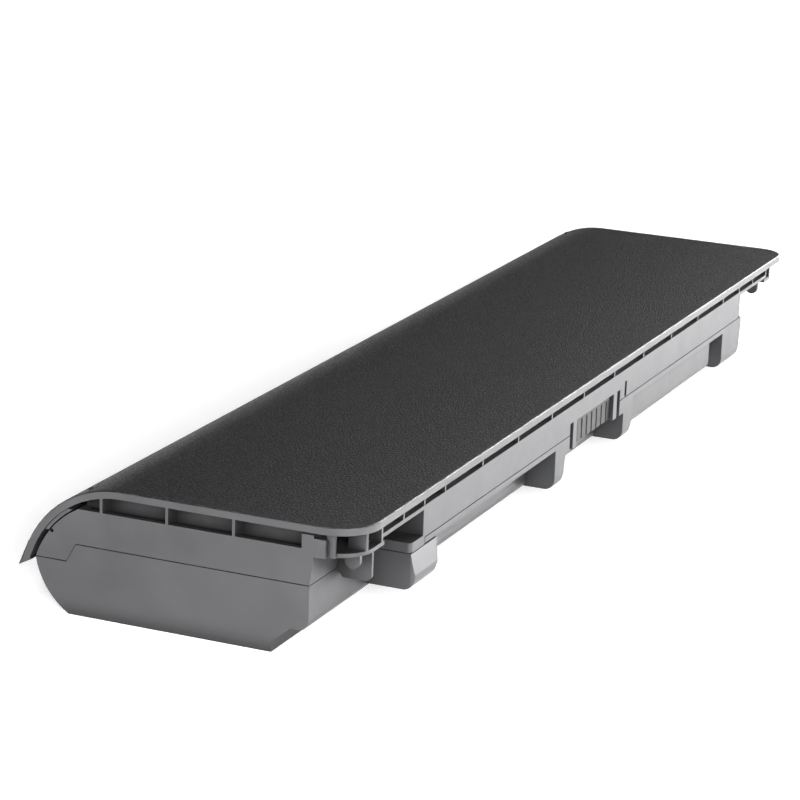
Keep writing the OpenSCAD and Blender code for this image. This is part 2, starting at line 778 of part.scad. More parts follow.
// One corner cage: rim above, plate below, ribs between, and the tab that hangs from it.
// It is drawn at the near end and mirrored for the far end, where it stays back by end_in.
module cage(end_in, rib_in, low_z, tab_at) {
    // Lower plate with its round corner
    translate([0, 0, low_z])
        linear_extrude(height = cage_t)
            intersection() {
                cover_plan(rim_out);
                pane([near_x + end_in, shelf_y], [web_x0 + web_t, cage_back_y]);
            }
    // Its two ribs
    translate([0, 0, low_z])
        linear_extrude(height = skin_z - low_z + 0.1)
            intersection() {
                cover_plan(rim_out);
                union() {
                    pane([near_x + rib_in, rim_y], [near_x + rib_in + rib_t, shelf_y + 3.2]);
                    pane([web_x0 - rib_t, rim_y], [web_x0 + 0.1, shelf_y + groove_d + back_t]);
                }
            }
    // Back wall of the cage
    block([web_x0 - 0.2, shelf_y + groove_d, low_z], [web_x0 + web_t - 0.2, cage_back_y, skin_z + 0.1]);
    // Half-round tab
    tab_y = cage_post_y - cage_post_w - 0.4;
    along_x(near_x + tab_at, near_x + tab_at + tab_t) {
        translate([tab_y, low_z - tab_drop + tab_w / 2])
            circle(r = tab_w / 2);
        pane([tab_y - tab_w / 2, low_z - tab_drop + tab_w / 2], [tab_y + tab_w / 2, low_z + 0.1]);
    }
}

// Corner post of the near cage
module cage_post() {
    post_x = near_x + rim_out - 0.2;
    block([post_x, cage_post_y - cage_post_w, cage_z], [post_x + cage_post_t, cage_post_y + 0.2, skin_z + 0.1]);
}

// Latch web of the near cage, with its chamfered corners
module latch_web() {
    along_x(web_x0, web_x0 + web_t)
        polygon([[cage_back_y, latch_roof_z + 0.1], [cage_back_y, web_z + 0.9], [cage_back_y - 0.9, web_z],
            [cage_back_y - web_w + 0.7, web_z], [cage_back_y - web_w, web_z + 0.7],
            [cage_back_y - web_w, latch_roof_z + 0.1]]);
}

// Roof plate and groove over one latch recess
module latch_roof(x_from, x_to) {
    block([x_from, shelf_y, latch_roof_z], [x_to, cage_back_y, shelf_top_z]);
    block([x_from, shelf_y + groove_d, latch_roof_z], [x_to, shelf_y + groove_d + back_t, skin_z + 0.1]);
    groove_rib((x_from + x_to) / 2, latch_roof_z);
}

// One rib in the groove along the side, from low_z up to the cover
module groove_rib(x, low_z) {
    block([x - rib_t / 2, shelf_y, low_z], [x + rib_t / 2, shelf_y + groove_d + 0.1, skin_z + 0.1]);
}

// Shelf: outer wall, channel, back wall, ends
module shelf() {
    floor_z = shelf_top_z - channel_d;
    block([shelf_x0, shelf_y, shelf_part_z], [shelf_x1, shelf_y + lip_t, shelf_top_z]);
    block([shelf_x0, shelf_y, floor_z - back_t], [shelf_x1, shelf_y + groove_d + back_t, floor_z]);
    block([shelf_x0, shelf_y + groove_d, floor_z - back_t],
        [shelf_x1, shelf_y + groove_d + back_t, skin_z + 0.1]);
    for (x = [shelf_x0, shelf_x1 - wall_t])
        block([x, shelf_y, shelf_part_z], [x + wall_t, cage_back_y, shelf_top_z]);
    for (x = [shelf_x0, shelf_x1 - wall_t])
        block([x, shelf_y + groove_d, shelf_part_z], [x + wall_t, cage_back_y, skin_z + 0.1]);
    // Ribs in the groove
    for (x = [shelf_x0 + 8.2 : rib_pitch : shelf_x1 - 3])
        groove_rib(x, floor_z);
    groove_rib(shelf_x0 + rib_t / 2, floor_z);
    groove_rib(shelf_x1 - rib_t / 2, floor_z);
    // Floor of the near latch recess
    difference() {
        block([foot_1_x, shelf_y, part_z], [part_step_x, wall_y, latch_z]);
        translate([0, foot_spread, 0])
            foot_edge(part_z - 1, latch_z + 1);
    }
    block([shelf_x0, shelf_y, part_z], [part_step_x, wall_y, shelf_part_z + 0.1]);
}

module upper_case() {
    color(case_black) {
        difference() {
            union() {
                // Cover
                intersection() {
                    along_x(near_x, far_x)
                        cover_outline();
                    linear_extrude(height = case_h)
                        cover_plan(0);
                }
                // Shoulder and side walls
                along_x(near_x, end_x)
                    shoulder_outline();
                along_x(near_x + groove_d, end_x)
                    shoulder_web();
                along_x(near_x + groove_d, part_step_x)
                    side_wall_outline();
                along_x(near_x, near_x + groove_d + 0.1)
                    intersection() {
                        side_wall_outline();
                        pane([wall_y - 2, 0], [0, skin_z - 0.35]);
                    }
                along_x(shelf_x1, end_x)
                    side_wall_outline();
                // Ends
                near_end();
                along_x(end_x - wall_t, end_x) {
                    intersection() {
                        body_outline(wall_y, 0);
                        above_parting(part_z);
                    }
                    pane([wall_y - wall_lean + 0.1, end_top_z - 1], [web_near_y + 0.7 * wall_t, skin_z + 0.1]);
                }
                for (i = [-1, 0, 1])
                    block([end_x - 0.1, rib_end_y(i), end_top_z - channel_d],
                        [far_x - 0.3, rib_end_y(i) + rib_t, skin_z + 0.1]);
                shelf();
                cage(0, cage_rib_in, cage_z, tab_in);
                cage_post();
                latch_web();
                latch_roof(web_x0, shelf_x0 + 0.1);
                mirror([1, 0, 0])
                    cage(cage_far_in, cage_far_in, cage_far_z, tab_in + 1.7);
                latch_roof(shelf_x1 - 0.1, web_x1);
            }
            rim_bevel();
            parting_gap();
            // Small notch in the shoulder where the ledge begins
            translate([near_x - 1, shoulder_y - 2.75, ledge_low_z])
                rotate([0, 90, 0])
                    cylinder(r = 0.3, h = 1 + lip_t);
            // The cells reach into the cover
            along_x(cells_x - end_room, cells_x + rows_l + end_room)
                row_discs(bore_r);
            // Opening for the contact block, guide slots and the short slot above the third foot
            block([contact_x - contact_l / 2, shelf_y - 1, contact_z],
                [contact_x + contact_l / 2, shelf_y + 2 * wall_t, contact_top_z]);
            guide_slots();
            block([foot_3_x + 0.1, shelf_y - 1, shelf_part_z + 0.2], [foot_3_x + 1.1, shelf_y + 0.8, shelf_part_z + 3]);
        }
    }
}

// Place of one contact along X
function contact_at(i) = contact_x + (i - (contact_n - 1) / 2) * contact_pitch;

module connector_housing() {
    face_y = shelf_y + contact_in;
    half = contact_l / 2 - contact_clear;
    color(block_black)
        difference() {
            union() {
                block([contact_x - half, face_y, contact_z + wall_t + contact_clear],
                    [contact_x + half, board_y, contact_top_z - contact_clear]);
                block([contact_x - half, face_y, contact_z + contact_clear],
                    [contact_x + half, shelf_y + 2 * wall_t - contact_clear, contact_top_z - contact_clear]);
            }
            for (i = [0 : contact_n - 1])
                block([contact_at(i) - contact_slot / 2, face_y - 1, contact_z - 1],
                    [contact_at(i) + contact_slot / 2, face_y + 3.6, contact_top_z - 1]);
        }
}

// One contact clip: two leaves and their base, in a slot of the block
module contact_clip(x) {
    leaf_t = 0.15;
    face_y = shelf_y + contact_in;
    low = contact_z + wall_t + 2 * contact_clear;
    for (side = [-1, 1])
        block([x + side * (contact_slot / 2 - leaf_t / 2) - leaf_t / 2, face_y + 0.8, low],
            [x + side * (contact_slot / 2 - leaf_t / 2) + leaf_t / 2, face_y + 3.5, contact_top_z - 1.3]);
    block([x - contact_slot / 2, face_y + 3.4, low], [x + contact_slot / 2, face_y + 3.6, contact_top_z - 1.3]);
}

module contacts() {
    color(nickel)
        for (i = [0 : contact_n - 1])
            contact_clip(contact_at(i));
}

// One cell as a turned solid: can with crimped groove, and its cap at the positive end, towards the near end
module cell(row, place) {
    y = row == 0 ? right_y : left_y;
    x = cells_x + place * (cell_l + end_gap);
    cap_r = cell_r * 0.5;
    cap_h = 0.5;
    color(sleeve_green)
        translate([x + cell_l / 2, y, cell_z])
            rotate([0, -90, 0])
                translate([0, 0, -cell_l / 2])
                    rotate_extrude()
                        polygon([[0, 0], [cell_r - 0.5, 0], [cell_r, 0.5], [cell_r, cell_l - 4],
                            [cell_r - 0.5, cell_l - 3.6], [cell_r - 0.5, cell_l - 3], [cell_r, cell_l - 2.6],
                            [cell_r, cell_l - cap_h - 0.4], [cell_r - 0.4, cell_l - cap_h],
                            [cap_r, cell_l - cap_h], [cap_r, cell_l], [0, cell_l]]);
}

module cell_1() { cell(0, 0); }
module cell_2() { cell(1, 0); }
module cell_3() { cell(0, 1); }
module cell_4() { cell(1, 1); }
module cell_5() { cell(0, 2); }
module cell_6() { cell(1, 2); }

// Fibre rings round the caps
module cell_rings() {
    color("ivory")
        for (place = [0:2])
            for (y = [right_y, left_y])
                translate([cells_x + place * (cell_l + end_gap) + 0.5, y, cell_z])
                    rotate([0, -90, 0])
                        difference() {
                            cylinder(r = cell_r - 0.6, h = 0.3);
                            translate([0, 0, -1])
                                cylinder(r = cell_r * 0.5 + 0.2, h = 3);
                        }
}

// Outline of one strip in Y and Z: a band over both rows, round at its ends
module strip_outline(tab_top) {
    for (y = [right_y, left_y])
        translate([y, cell_z])
            circle(d = strip_w);
    pane([right_y, cell_z - strip_w / 2], [left_y, cell_z + strip_w / 2]);
    if (tab_top > 0)
        polygon([[right_y - 3, cell_z], [right_y, cell_z + 3.9], [lead_y + 1.4, tab_top], [lead_y - 0.6, tab_top],
            [lead_y - 0.6, tab_top - 2]]);
}

module strip_plus() {
    color(nickel)
        along_x(cells_x - strip_t, cells_x)
            strip_outline(lead_z + lead_d / 2);
}

module strip_minus() {
    color(nickel)
        along_x(cells_x + rows_l, cells_x + rows_l + strip_t)
            strip_outline(lead_z + lead_d / 2);
}

// A strip folded into a U between two groups of cells
module strip_mid(place) {
    x = cells_x + place * (cell_l + end_gap) - end_gap;
    color(nickel) {
        along_x(x, x + strip_t)
            strip_outline(sense_z + sense_d / 2);
        along_x(x + end_gap - strip_t, x + end_gap)
            strip_outline(0);
        block([x, right_y + 2, cell_z + strip_w / 2 - strip_t], [x + end_gap, left_y - 2, cell_z + strip_w / 2]);
    }
}

module strip_mid_1() { strip_mid(1); }
module strip_mid_2() { strip_mid(2); }

module board() {
    color(board_green)
        block([board_x0, board_y, board_z], [board_x1, board_back_y, board_top]);
}

// A part that stands on the outer face of the board, by its lower near corner and its size
module on_board(x, z, length, height, thick) {
    block([x, board_y - thick, z], [x + length, board_y, z + height]);
}

module gauge_chip() {
    color(chip_black)
        on_board(gauge_x, chip_z - 0.2, gauge_l, gauge_l, chip_t);
}

module protector_chip() {
    color(chip_black)
        on_board(protector_x, chip_z, mosfet_l, 6, chip_t);
}

module mosfets() {
    color(chip_black)
        for (i = [0, 1])
            on_board(mosfet_x + i * (mosfet_l + chip_gap), chip_z, mosfet_l, 6, chip_t);
}

module shunt() {
    color(chip_black)
        on_board(shunt_x, chip_z, 2.5, 5.6, chip_t / 2);
}

module fuse() {
    color("ivory")
        on_board(fuse_x, chip_z + 3.9, 4, 2.8, 1.5);
}

module chip_parts() {
    color("tan")
        for (i = [0:3])
            for (k = [0:2])
                on_board(small_x + i * 1.5, chip_z + k * 2.2, 0.8, 1.6, 0.5);
}

// A wire along X that turns towards the board at its end
module wire(x_from, x_to, y, z, d) {
    translate([min(x_from, x_to), y, z])
        rotate([0, 90, 0])
            cylinder(d = d, h = abs(x_to - x_from));
    translate([x_to, y, z])
        sphere(d = d);
    translate([x_to, board_back_y, z])
        rotate([-90, 0, 0])
            cylinder(d = d, h = y - board_back_y);
}

module lead_plus() {
    color("crimson")
        wire(cells_x, board_x0 + 3, lead_y, lead_z, lead_d);
}

module lead_minus() {
    color("black")
        wire(cells_x + rows_l, board_x1 - 3, lead_y, lead_z, lead_d);
}

module sense_leads() {
    color("orange") {
        wire(cells_x + cell_l + strip_t, board_x0 + 8, sense_y, sense_z, sense_d);
        wire(cells_x + 2 * cell_l + end_gap + strip_t, cells_x + 2 * cell_l + end_gap + 4, sense_y, sense_z, sense_d);
    }
}

module thermistor() {
    x = cells_x + 2 * cell_l + end_gap - therm_in;
    color("dimgray") {
        translate([x, lead_y, lead_z - 1.6])
            rotate([0, 90, 0])
                cylinder(d = 1.6, h = 4);
        wire(x + 3.9, x + 6, lead_y, lead_z - 1.6, 0.6);
    }
}

module insulation_sheet() {
    color("wheat")
        block([board_x0 + sheet_in, sheet_y, board_z + 1.6],
            [board_x1 - sheet_in, sheet_y + sheet_t, sense_z - 1]);
}

// The saddles that the cells lie in, two under each pair, glued to the base
module cell_saddles() {
    color(case_black)
        for (place = [0:2])
            for (share = [0.22, 0.78]) {
                x = cells_x + place * (cell_l + end_gap) + share * cell_l;
                along_x(x - saddle_t / 2, x + saddle_t / 2)
                    difference() {
                        pane([right_y + saddle_reach, base_t], [left_y - saddle_reach, cell_z - bore_r * 0.3]);
                        row_discs(bore_r);
                    }
            }
}

// The spacers between the two rows, one per pair of cells, glued under the cover
module row_spacers() {
    color(case_black)
        for (place = [0:2]) {
            x = cells_x + place * (cell_l + end_gap) + cell_l / 2;
            along_x(x - saddle_t / 2, x + saddle_t / 2)
                difference() {
                    pane([right_y + saddle_reach, cell_z + bore_r * 0.5], [left_y - saddle_reach, skin_z]);
                    row_discs(bore_r);
                }
        }
}

// Foam between the left row of cells and the shoulder, one pad per cell
module foam_pads() {
    color("slategray")
        for (place = [0:2]) {
            x = cells_x + place * (cell_l + end_gap) + cell_l / 2;
            along_x(x - pad_l / 2, x + pad_l / 2)
                difference() {
                    pane([left_y + cell_r / 2, pad_z], [left_y + pad_reach, pad_z + pad_h]);
                    row_discs(cell_r);
                }
        }
}

upper_case();
lower_case();
connector_housing();
contacts();
cell_1();
cell_2();
cell_3();
cell_4();
cell_5();
cell_6();
cell_rings();
strip_plus();
strip_mid_1();
strip_mid_2();
strip_minus();
board();
gauge_chip();
protector_chip();
mosfets();
shunt();
fuse();
chip_parts();
thermistor();
lead_plus();
lead_minus();
sense_leads();
insulation_sheet();
foam_pads();
cell_saddles();
row_spacers();
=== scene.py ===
# A laptop battery on a white table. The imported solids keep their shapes, and no piece is added to them:
# this script sets the camera, the table and the light, and gives each solid its material.
import math

import bpy
from mathutils import Matrix, Vector

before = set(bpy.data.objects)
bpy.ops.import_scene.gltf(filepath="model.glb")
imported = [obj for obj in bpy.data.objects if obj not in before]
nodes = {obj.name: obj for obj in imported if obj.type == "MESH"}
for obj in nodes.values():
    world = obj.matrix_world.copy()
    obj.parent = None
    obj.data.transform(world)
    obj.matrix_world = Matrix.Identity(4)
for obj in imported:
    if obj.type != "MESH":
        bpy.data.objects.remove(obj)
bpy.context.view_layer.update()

scene = bpy.context.scene
scene.view_settings.view_transform = "Standard"


# The camera stands off the near end, a little to the side of the contacts, and looks down on the cover.
# Its place, its turn and its lens were solved from the perspective of the photograph.
camera_place = (-0.49375, -0.20105, 0.16249)
heading = math.radians(23.2045327)
tilt_down = math.radians(15.9168581)
roll = math.radians(1.9988398)
film_width = 36
lens_length = 142.07
nearest_seen = 0.01

camera_data = bpy.data.cameras.new("camera")
camera_data.sensor_width = film_width
camera_data.lens = lens_length
camera_data.clip_start = nearest_seen
camera = bpy.data.objects.new("camera", camera_data)
scene.collection.objects.link(camera)
level_turn = Matrix.Rotation(heading - math.pi / 2, 4, "Z")
downward_turn = Matrix.Rotation(math.pi / 2 - tilt_down, 4, "X")
roll_turn = Matrix.Rotation(roll, 4, "Z")
camera.matrix_world = Matrix.Translation(camera_place) @ level_turn @ downward_turn @ roll_turn
scene.camera = camera


# The table is a wide sheet of matt white board, and the room round it is a pale studio with a dark
# ceiling. The board is lifted to white for the camera and in glossy surfaces, so its shadows are faint.
table_width = 8
table_lift = 0.42

# The wall is pale up to 8 degrees above the floor and the ceiling starts at 15, written as their sines.
wall_up_to = 0.14
ceiling_from = 0.26
wall_light = 0.40
ceiling_light = 0.015


def linear(hex_colour):
    """An sRGB hex colour as the linear values that a shader takes."""
    parts = [int(hex_colour[i:i + 2], 16) / 255 for i in (1, 3, 5)]
    return tuple(c / 12.92 if c <= 0.04045 else ((c + 0.055) / 1.055) ** 2.4 for c in parts) + (1,)


def add(tree, kind, settings=(), inputs=()):
    """Adds one node. An input is a plain value, or a node's output that is linked to it."""
    node = tree.nodes.new(kind)
    for name, value in dict(settings).items():
        setattr(node, name, value)
    for name, value in dict(inputs).items():
        if isinstance(value, bpy.types.NodeSocket):
            tree.links.new(value, node.inputs[name])
        else:
            node.inputs[name].default_value = value
    return node


def new_material(name):
    """An empty material and its node tree."""
    material = bpy.data.materials.new(name)
    material.use_nodes = True
    material.node_tree.nodes.clear()
    return material, material.node_tree


white = linear("#ffffff")
bpy.ops.mesh.primitive_plane_add(size=table_width, location=(0, 0, 0))
table = bpy.context.object
table.name = "table"
tabletop, tree = new_material("matt_white_board")
seen = add(tree, "ShaderNodeLightPath").outputs
seen_or_mirrored = add(tree, "ShaderNodeMath", {"operation": "MAXIMUM"}, {
    0: seen["Is Camera Ray"],
    1: seen["Is Glossy Ray"],
}).outputs[0]
seen_at_all = add(tree, "ShaderNodeMath", {"operation": "MAXIMUM"}, {
    0: seen_or_mirrored,
    1: seen["Is Transmission Ray"],
}).outputs[0]
lift = add(tree, "ShaderNodeMath", {"operation": "MULTIPLY"}, {0: seen_at_all, 1: table_lift}).outputs[0]
paint = add(tree, "ShaderNodeBsdfDiffuse", inputs={"Color": linear("#f4f4f4"), "Roughness": 0.4}).outputs[0]
glow = add(tree, "ShaderNodeEmission", inputs={"Color": white, "Strength": lift}).outputs[0]
lifted_paint = add(tree, "ShaderNodeAddShader", inputs={0: paint, 1: glow}).outputs[0]
add(tree, "ShaderNodeOutputMaterial", inputs={"Surface": lifted_paint})
table.data.materials.append(tabletop)

world = bpy.data.worlds.new("studio")
scene.world = world
world.use_nodes = True
tree = world.node_tree
tree.nodes.clear()
direction = add(tree, "ShaderNodeTexCoord").outputs["Generated"]
slope = add(tree, "ShaderNodeSeparateXYZ", inputs={0: direction}).outputs["Z"]
strength = add(tree, "ShaderNodeMapRange", {"interpolation_type": "SMOOTHSTEP"}, {
    "Value": slope,
    "From Min": wall_up_to,
    "From Max": ceiling_from,
    "To Min": wall_light,
    "To Max": ceiling_light,
}).outputs[0]
room = add(tree, "ShaderNodeBackground", inputs={"Color": white, "Strength": strength}).outputs[0]
add(tree, "ShaderNodeOutputWorld", inputs={"Surface": room})


def soft_box(name, place, aim, size, watts, spread=math.pi):
    """A large rectangular soft lamp that points from its place to the aim."""
    data = bpy.data.lights.new(name, "AREA")
    data.shape = "RECTANGLE"
    data.size, data.size_y = size
    data.energy = watts
    data.spread = spread
    lamp = bpy.data.objects.new(name, data)
    scene.collection.objects.link(lamp)
    lamp.location = place
    lamp.rotation_euler = (Vector(aim) - Vector(place)).to_track_quat("-Z", "Y").to_euler()


# The low lamp beyond the far end is mirrored by the cover. The front and fill lamps light the near end and
# the long side, and the one above softens the shadows.
soft_box("side_soft_box", place=(1.10, -0.55, 0.13), aim=(0.0, 0.0, 0.02), size=(1.15, 0.26), watts=34)
soft_box("front_soft_box", place=(-1.15, 0.50, 0.16), aim=(-0.1, 0.0, 0.01), size=(0.9, 0.32), watts=17)
soft_box("fill_soft_box", place=(-1.05, -0.75, 0.35), aim=(0.0, -0.02, 0.0), size=(0.7, 0.5), watts=20)
soft_box("top_soft_box", place=(-0.2, -0.3, 1.3), aim=(0.0, 0.0, 0.0), size=(0.8, 0.8), watts=2.5)
# This one points straight down beside the battery, and its narrow spread keeps most of it off the cover,
# so that the light the table throws back reaches the long side.
soft_box("table_soft_box", place=(0.15, -0.36, 0.7), aim=(0.15, -0.36, 0.0), size=(1.1, 0.5), watts=16,
         spread=math.radians(24))


# The upper case is one moulding in black ABS. Its cover has a fine spark-eroded grain that scatters the
# light and sparkles where a facet faces it. The rim, ribs and walls come from smoother steel and are satin,
# and they are written lighter than the cover's skin, to come near their brightness in the photograph.
abs_ior = 1.53
satin = 0.38
flow_marks_glossier = 0.05
flow_marks_duller = 0.06
# The colour that recesses are darkened to, as painted shade.
painted_recess_shade = "#030303"
recess_rough = 0.92
wall_bump = 0.04
grain_depth = 0.00034

# Flow marks are broad, soft changes of gloss some 9 mm across. The tool finish is 0.12 mm on the real walls
# and is drawn at 0.2 mm so that it shows.
flow_mark = 0.009
tool_finish = 0.0002

# The grain's lumps are 0.3 mm wide on the real cover and are drawn at 0.38 mm so that they show. Its facets
# are drawn at 0.5 mm, glossy in the middle and duller towards their edges.
grain_lump = 0.00038
grain_facet = 0.0005
facet_middle, facet_edge = 0.05, 0.55
facet_glossy, facet_dull = 0.24, 0.44

# The skin is what lies within 0.15 mm of the cover's height, or within 0.2 mm of the rolled edge's outside.
# It fades in over the next tenth of a millimetre or so, and the roll counts only from its own start in Y.
cover_height = 0.0205
flat_skin_from, flat_skin_full = cover_height - 0.00015, cover_height - 0.00005
roll_radius = 0.0170
roll_skin_from, roll_skin_full = roll_radius - 0.00020, roll_radius - 0.00008
roll_axis = (0, 0.011002, 0.0035)
roll_side_from, roll_side_full = 0.0108, 0.0112

# Painted shade darkens the walls of a recess: other walls within 5 mm take the light from it. A place is
# shut in where less than the first share of what it faces is open, and it lies open above the second.
recess_reach = 0.005
recess_shut, recess_open = 0.40, 0.92

# Nearly all of a noise lies between these two, and each finer layer counts this share of the last one.
noise_low, noise_high = 0.3, 0.7
finer_share = 0.55

# A Mix node has sockets for numbers and for colours under the same names, so they go by their places.
mix_by, number_a, number_b, colour_a, colour_b = 0, 2, 3, 6, 7
mixed_number, mixed_colour = 0, 2


def moulded_abs(name, dark, light, rough, skin=None):
    """Black ABS: satin walls with faint flow marks. A colour for the skin adds the cover's grain."""
    material, tree = new_material(name)
    where = add(tree, "ShaderNodeTexCoord").outputs["Object"]
    flow = add(tree, "ShaderNodeTexNoise", inputs={
        "Vector": where,
        "Scale": 1 / flow_mark,
        "Detail": 3,
        "Roughness": finer_share,
    }).outputs["Fac"]
    height = add(tree, "ShaderNodeTexNoise", inputs={
        "Vector": where,
        "Scale": 1 / tool_finish,
        "Detail": 2,
        "Roughness": finer_share,
    }).outputs["Fac"]
    gloss = add(tree, "ShaderNodeMapRange", inputs={
        "Value": flow,
        "From Min": noise_low,
        "From Max": noise_high,
        "To Min": rough - flow_marks_glossier,
        "To Max": rough + flow_marks_duller,
    }).outputs[0]
    tone = add(tree, "ShaderNodeMix", {"data_type": "RGBA"}, {
        mix_by: flow,
        colour_a: linear(dark),
        colour_b: linear(light),
    }).outputs[mixed_colour]

    # Little light comes out of a recess, so its colour is darkened to near black there as painted shade.
    # The steel there is rougher, so it is dull too.
    open_sky = add(tree, "ShaderNodeAmbientOcclusion", {"samples": 8}, {
        "Distance": recess_reach,
    }).outputs["AO"]
    openness = add(tree, "ShaderNodeMapRange", inputs={
        "Value": open_sky,
        "From Min": recess_shut,
        "From Max": recess_open,
    }).outputs[0]
    tone = add(tree, "ShaderNodeMix", {"data_type": "RGBA"}, {
        mix_by: openness,
        colour_a: linear(painted_recess_shade),
        colour_b: tone,
    }).outputs[mixed_colour]
    gloss = add(tree, "ShaderNodeMix", inputs={
        mix_by: openness,
        number_a: recess_rough,
        number_b: gloss,
    }).outputs[mixed_number]
    strength = wall_bump

    if skin:
        part = add(tree, "ShaderNodeSeparateXYZ", inputs={0: where}).outputs
        across = add(tree, "ShaderNodeCombineXYZ", inputs={"Y": part["Y"], "Z": part["Z"]}).outputs[0]
        from_axis = add(tree, "ShaderNodeVectorMath", {"operation": "DISTANCE"}, {
            0: across,
            1: roll_axis,
        }).outputs["Value"]
        near_outside = add(tree, "ShaderNodeMapRange", inputs={
            "Value": from_axis,
            "From Min": roll_skin_from,
            "From Max": roll_skin_full,
        }).outputs[0]
        on_roll_side = add(tree, "ShaderNodeMapRange", inputs={
            "Value": part["Y"],
            "From Min": roll_side_from,
            "From Max": roll_side_full,
        }).outputs[0]
        rolled = add(tree, "ShaderNodeMath", {"operation": "MULTIPLY"}, {
            0: near_outside,
            1: on_roll_side,
        }).outputs[0]
        flat = add(tree, "ShaderNodeMapRange", inputs={
            "Value": part["Z"],
            "From Min": flat_skin_from,
            "From Max": flat_skin_full,
        }).outputs[0]
        on_skin = add(tree, "ShaderNodeMath", {"operation": "MAXIMUM"}, {0: rolled, 1: flat}).outputs[0]

        lumps = add(tree, "ShaderNodeTexNoise", inputs={
            "Vector": where,
            "Scale": 1 / grain_lump,
            "Detail": 3,
            "Roughness": finer_share,
        }).outputs["Fac"]
        from_middle = add(tree, "ShaderNodeTexVoronoi", {"feature": "F1"}, {
            "Vector": where,
            "Scale": 1 / grain_facet,
        }).outputs["Distance"]
        facets = add(tree, "ShaderNodeMapRange", inputs={
            "Value": from_middle,
            "From Min": facet_middle,
            "From Max": facet_edge,
            "To Min": facet_glossy,
            "To Max": facet_dull,
        }).outputs[0]
        gloss = add(tree, "ShaderNodeMix", inputs={
            mix_by: on_skin,
            number_a: gloss,
            number_b: facets,
        }).outputs[mixed_number]
        height = add(tree, "ShaderNodeMix", inputs={
            mix_by: on_skin,
            number_a: height,
            number_b: lumps,
        }).outputs[mixed_number]
        strength = add(tree, "ShaderNodeMapRange", inputs={
            "Value": on_skin,
            "To Min": wall_bump,
            "To Max": 1.0,
        }).outputs[0]
        tone = add(tree, "ShaderNodeMix", {"data_type": "RGBA"}, {
            mix_by: on_skin,
            colour_a: tone,
            colour_b: linear(skin),
        }).outputs[mixed_colour]

    bump = add(tree, "ShaderNodeBump", inputs={
        "Height": height,
        "Strength": strength,
        "Distance": grain_depth,
    }).outputs[0]
    plastic = add(tree, "ShaderNodeBsdfPrincipled", inputs={
        "Base Color": tone,
        "Roughness": gloss,
        "Normal": bump,
        "IOR": abs_ior,
    }).outputs[0]
    add(tree, "ShaderNodeOutputMaterial", inputs={"Surface": plastic})
    return material


def finish_node(name, material):
    """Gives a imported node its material."""
    slots = nodes[name].data.materials
    slots.clear()
    slots.append(material)


# The walls' colours are written lighter as painted light, and the skin's darker as painted shade, though
# the real moulding is one black.
finish_node("upper_case", moulded_abs(
    "abs_black_grained", dark="#303032", light="#37373a", rough=satin, skin="#0b0b0c"))


# The lower case is a second ABS moulding in the same black, welded under the first along the parting line.
# It has the satin finish of the upper walls, with no grain.
# Its colours are as light as the upper walls', which is painted light, the same as there.
finish_node("lower_case", moulded_abs(
    "abs_black_satin", dark="#323234", light="#39393c", rough=satin))


# The contact block is moulded in glass-filled PBT and sits in the recess of the long side. It is a darker
# and duller black than the walls of the case, with short pale fibres that lie mostly along the block.
pbt_ior = 1.57
pbt_dark = "#0d0e0e"
pbt_light = "#161718"
pbt_glossy, pbt_dull = 0.66, 0.80
fibre_bump = 0.15
fibre_height = 0.00005

# The real fibres are about 0.01 mm thick. They are drawn 0.2 mm wide so that they show, and about six times
# as long.
fibre_width = 0.0002
along_block = (0.16, 1, 1)

material, tree = new_material("pbt_glass_filled")
where = add(tree, "ShaderNodeTexCoord").outputs["Object"]
stretched = add(tree, "ShaderNodeMapping", inputs={"Vector": where, "Scale": along_block}).outputs[0]
fibres = add(tree, "ShaderNodeTexNoise", inputs={
    "Vector": stretched,
    "Scale": 1 / fibre_width,
    "Detail": 3,
    "Roughness": finer_share,
}).outputs["Fac"]
tone = add(tree, "ShaderNodeMix", {"data_type": "RGBA"}, {
    mix_by: fibres,
    colour_a: linear(pbt_dark),
    colour_b: linear(pbt_light),
}).outputs[mixed_colour]
gloss = add(tree, "ShaderNodeMapRange", inputs={
    "Value": fibres,
    "To Min": pbt_glossy,
    "To Max": pbt_dull,
}).outputs[0]
bump = add(tree, "ShaderNodeBump", inputs={
    "Height": fibres,
    "Strength": fibre_bump,
    "Distance": fibre_height,
}).outputs[0]
plastic = add(tree, "ShaderNodeBsdfPrincipled", inputs={
    "Base Color": tone,
    "Roughness": gloss,
    "Normal": bump,
    "IOR": pbt_ior,
}).outputs[0]
add(tree, "ShaderNodeOutputMaterial", inputs={"Surface": plastic})
finish_node("connector_housing", material)


# The contact clips are stamped from phosphor bronze and plated with a thin layer of gold. They stand in the
# slots of the contact block, and the stamping leaves faint marks 0.15 mm wide along each clip.
mark_bump = 0.1
mark_height = 0.00002
marks_glossier = 0.08
marks_duller = 0.1


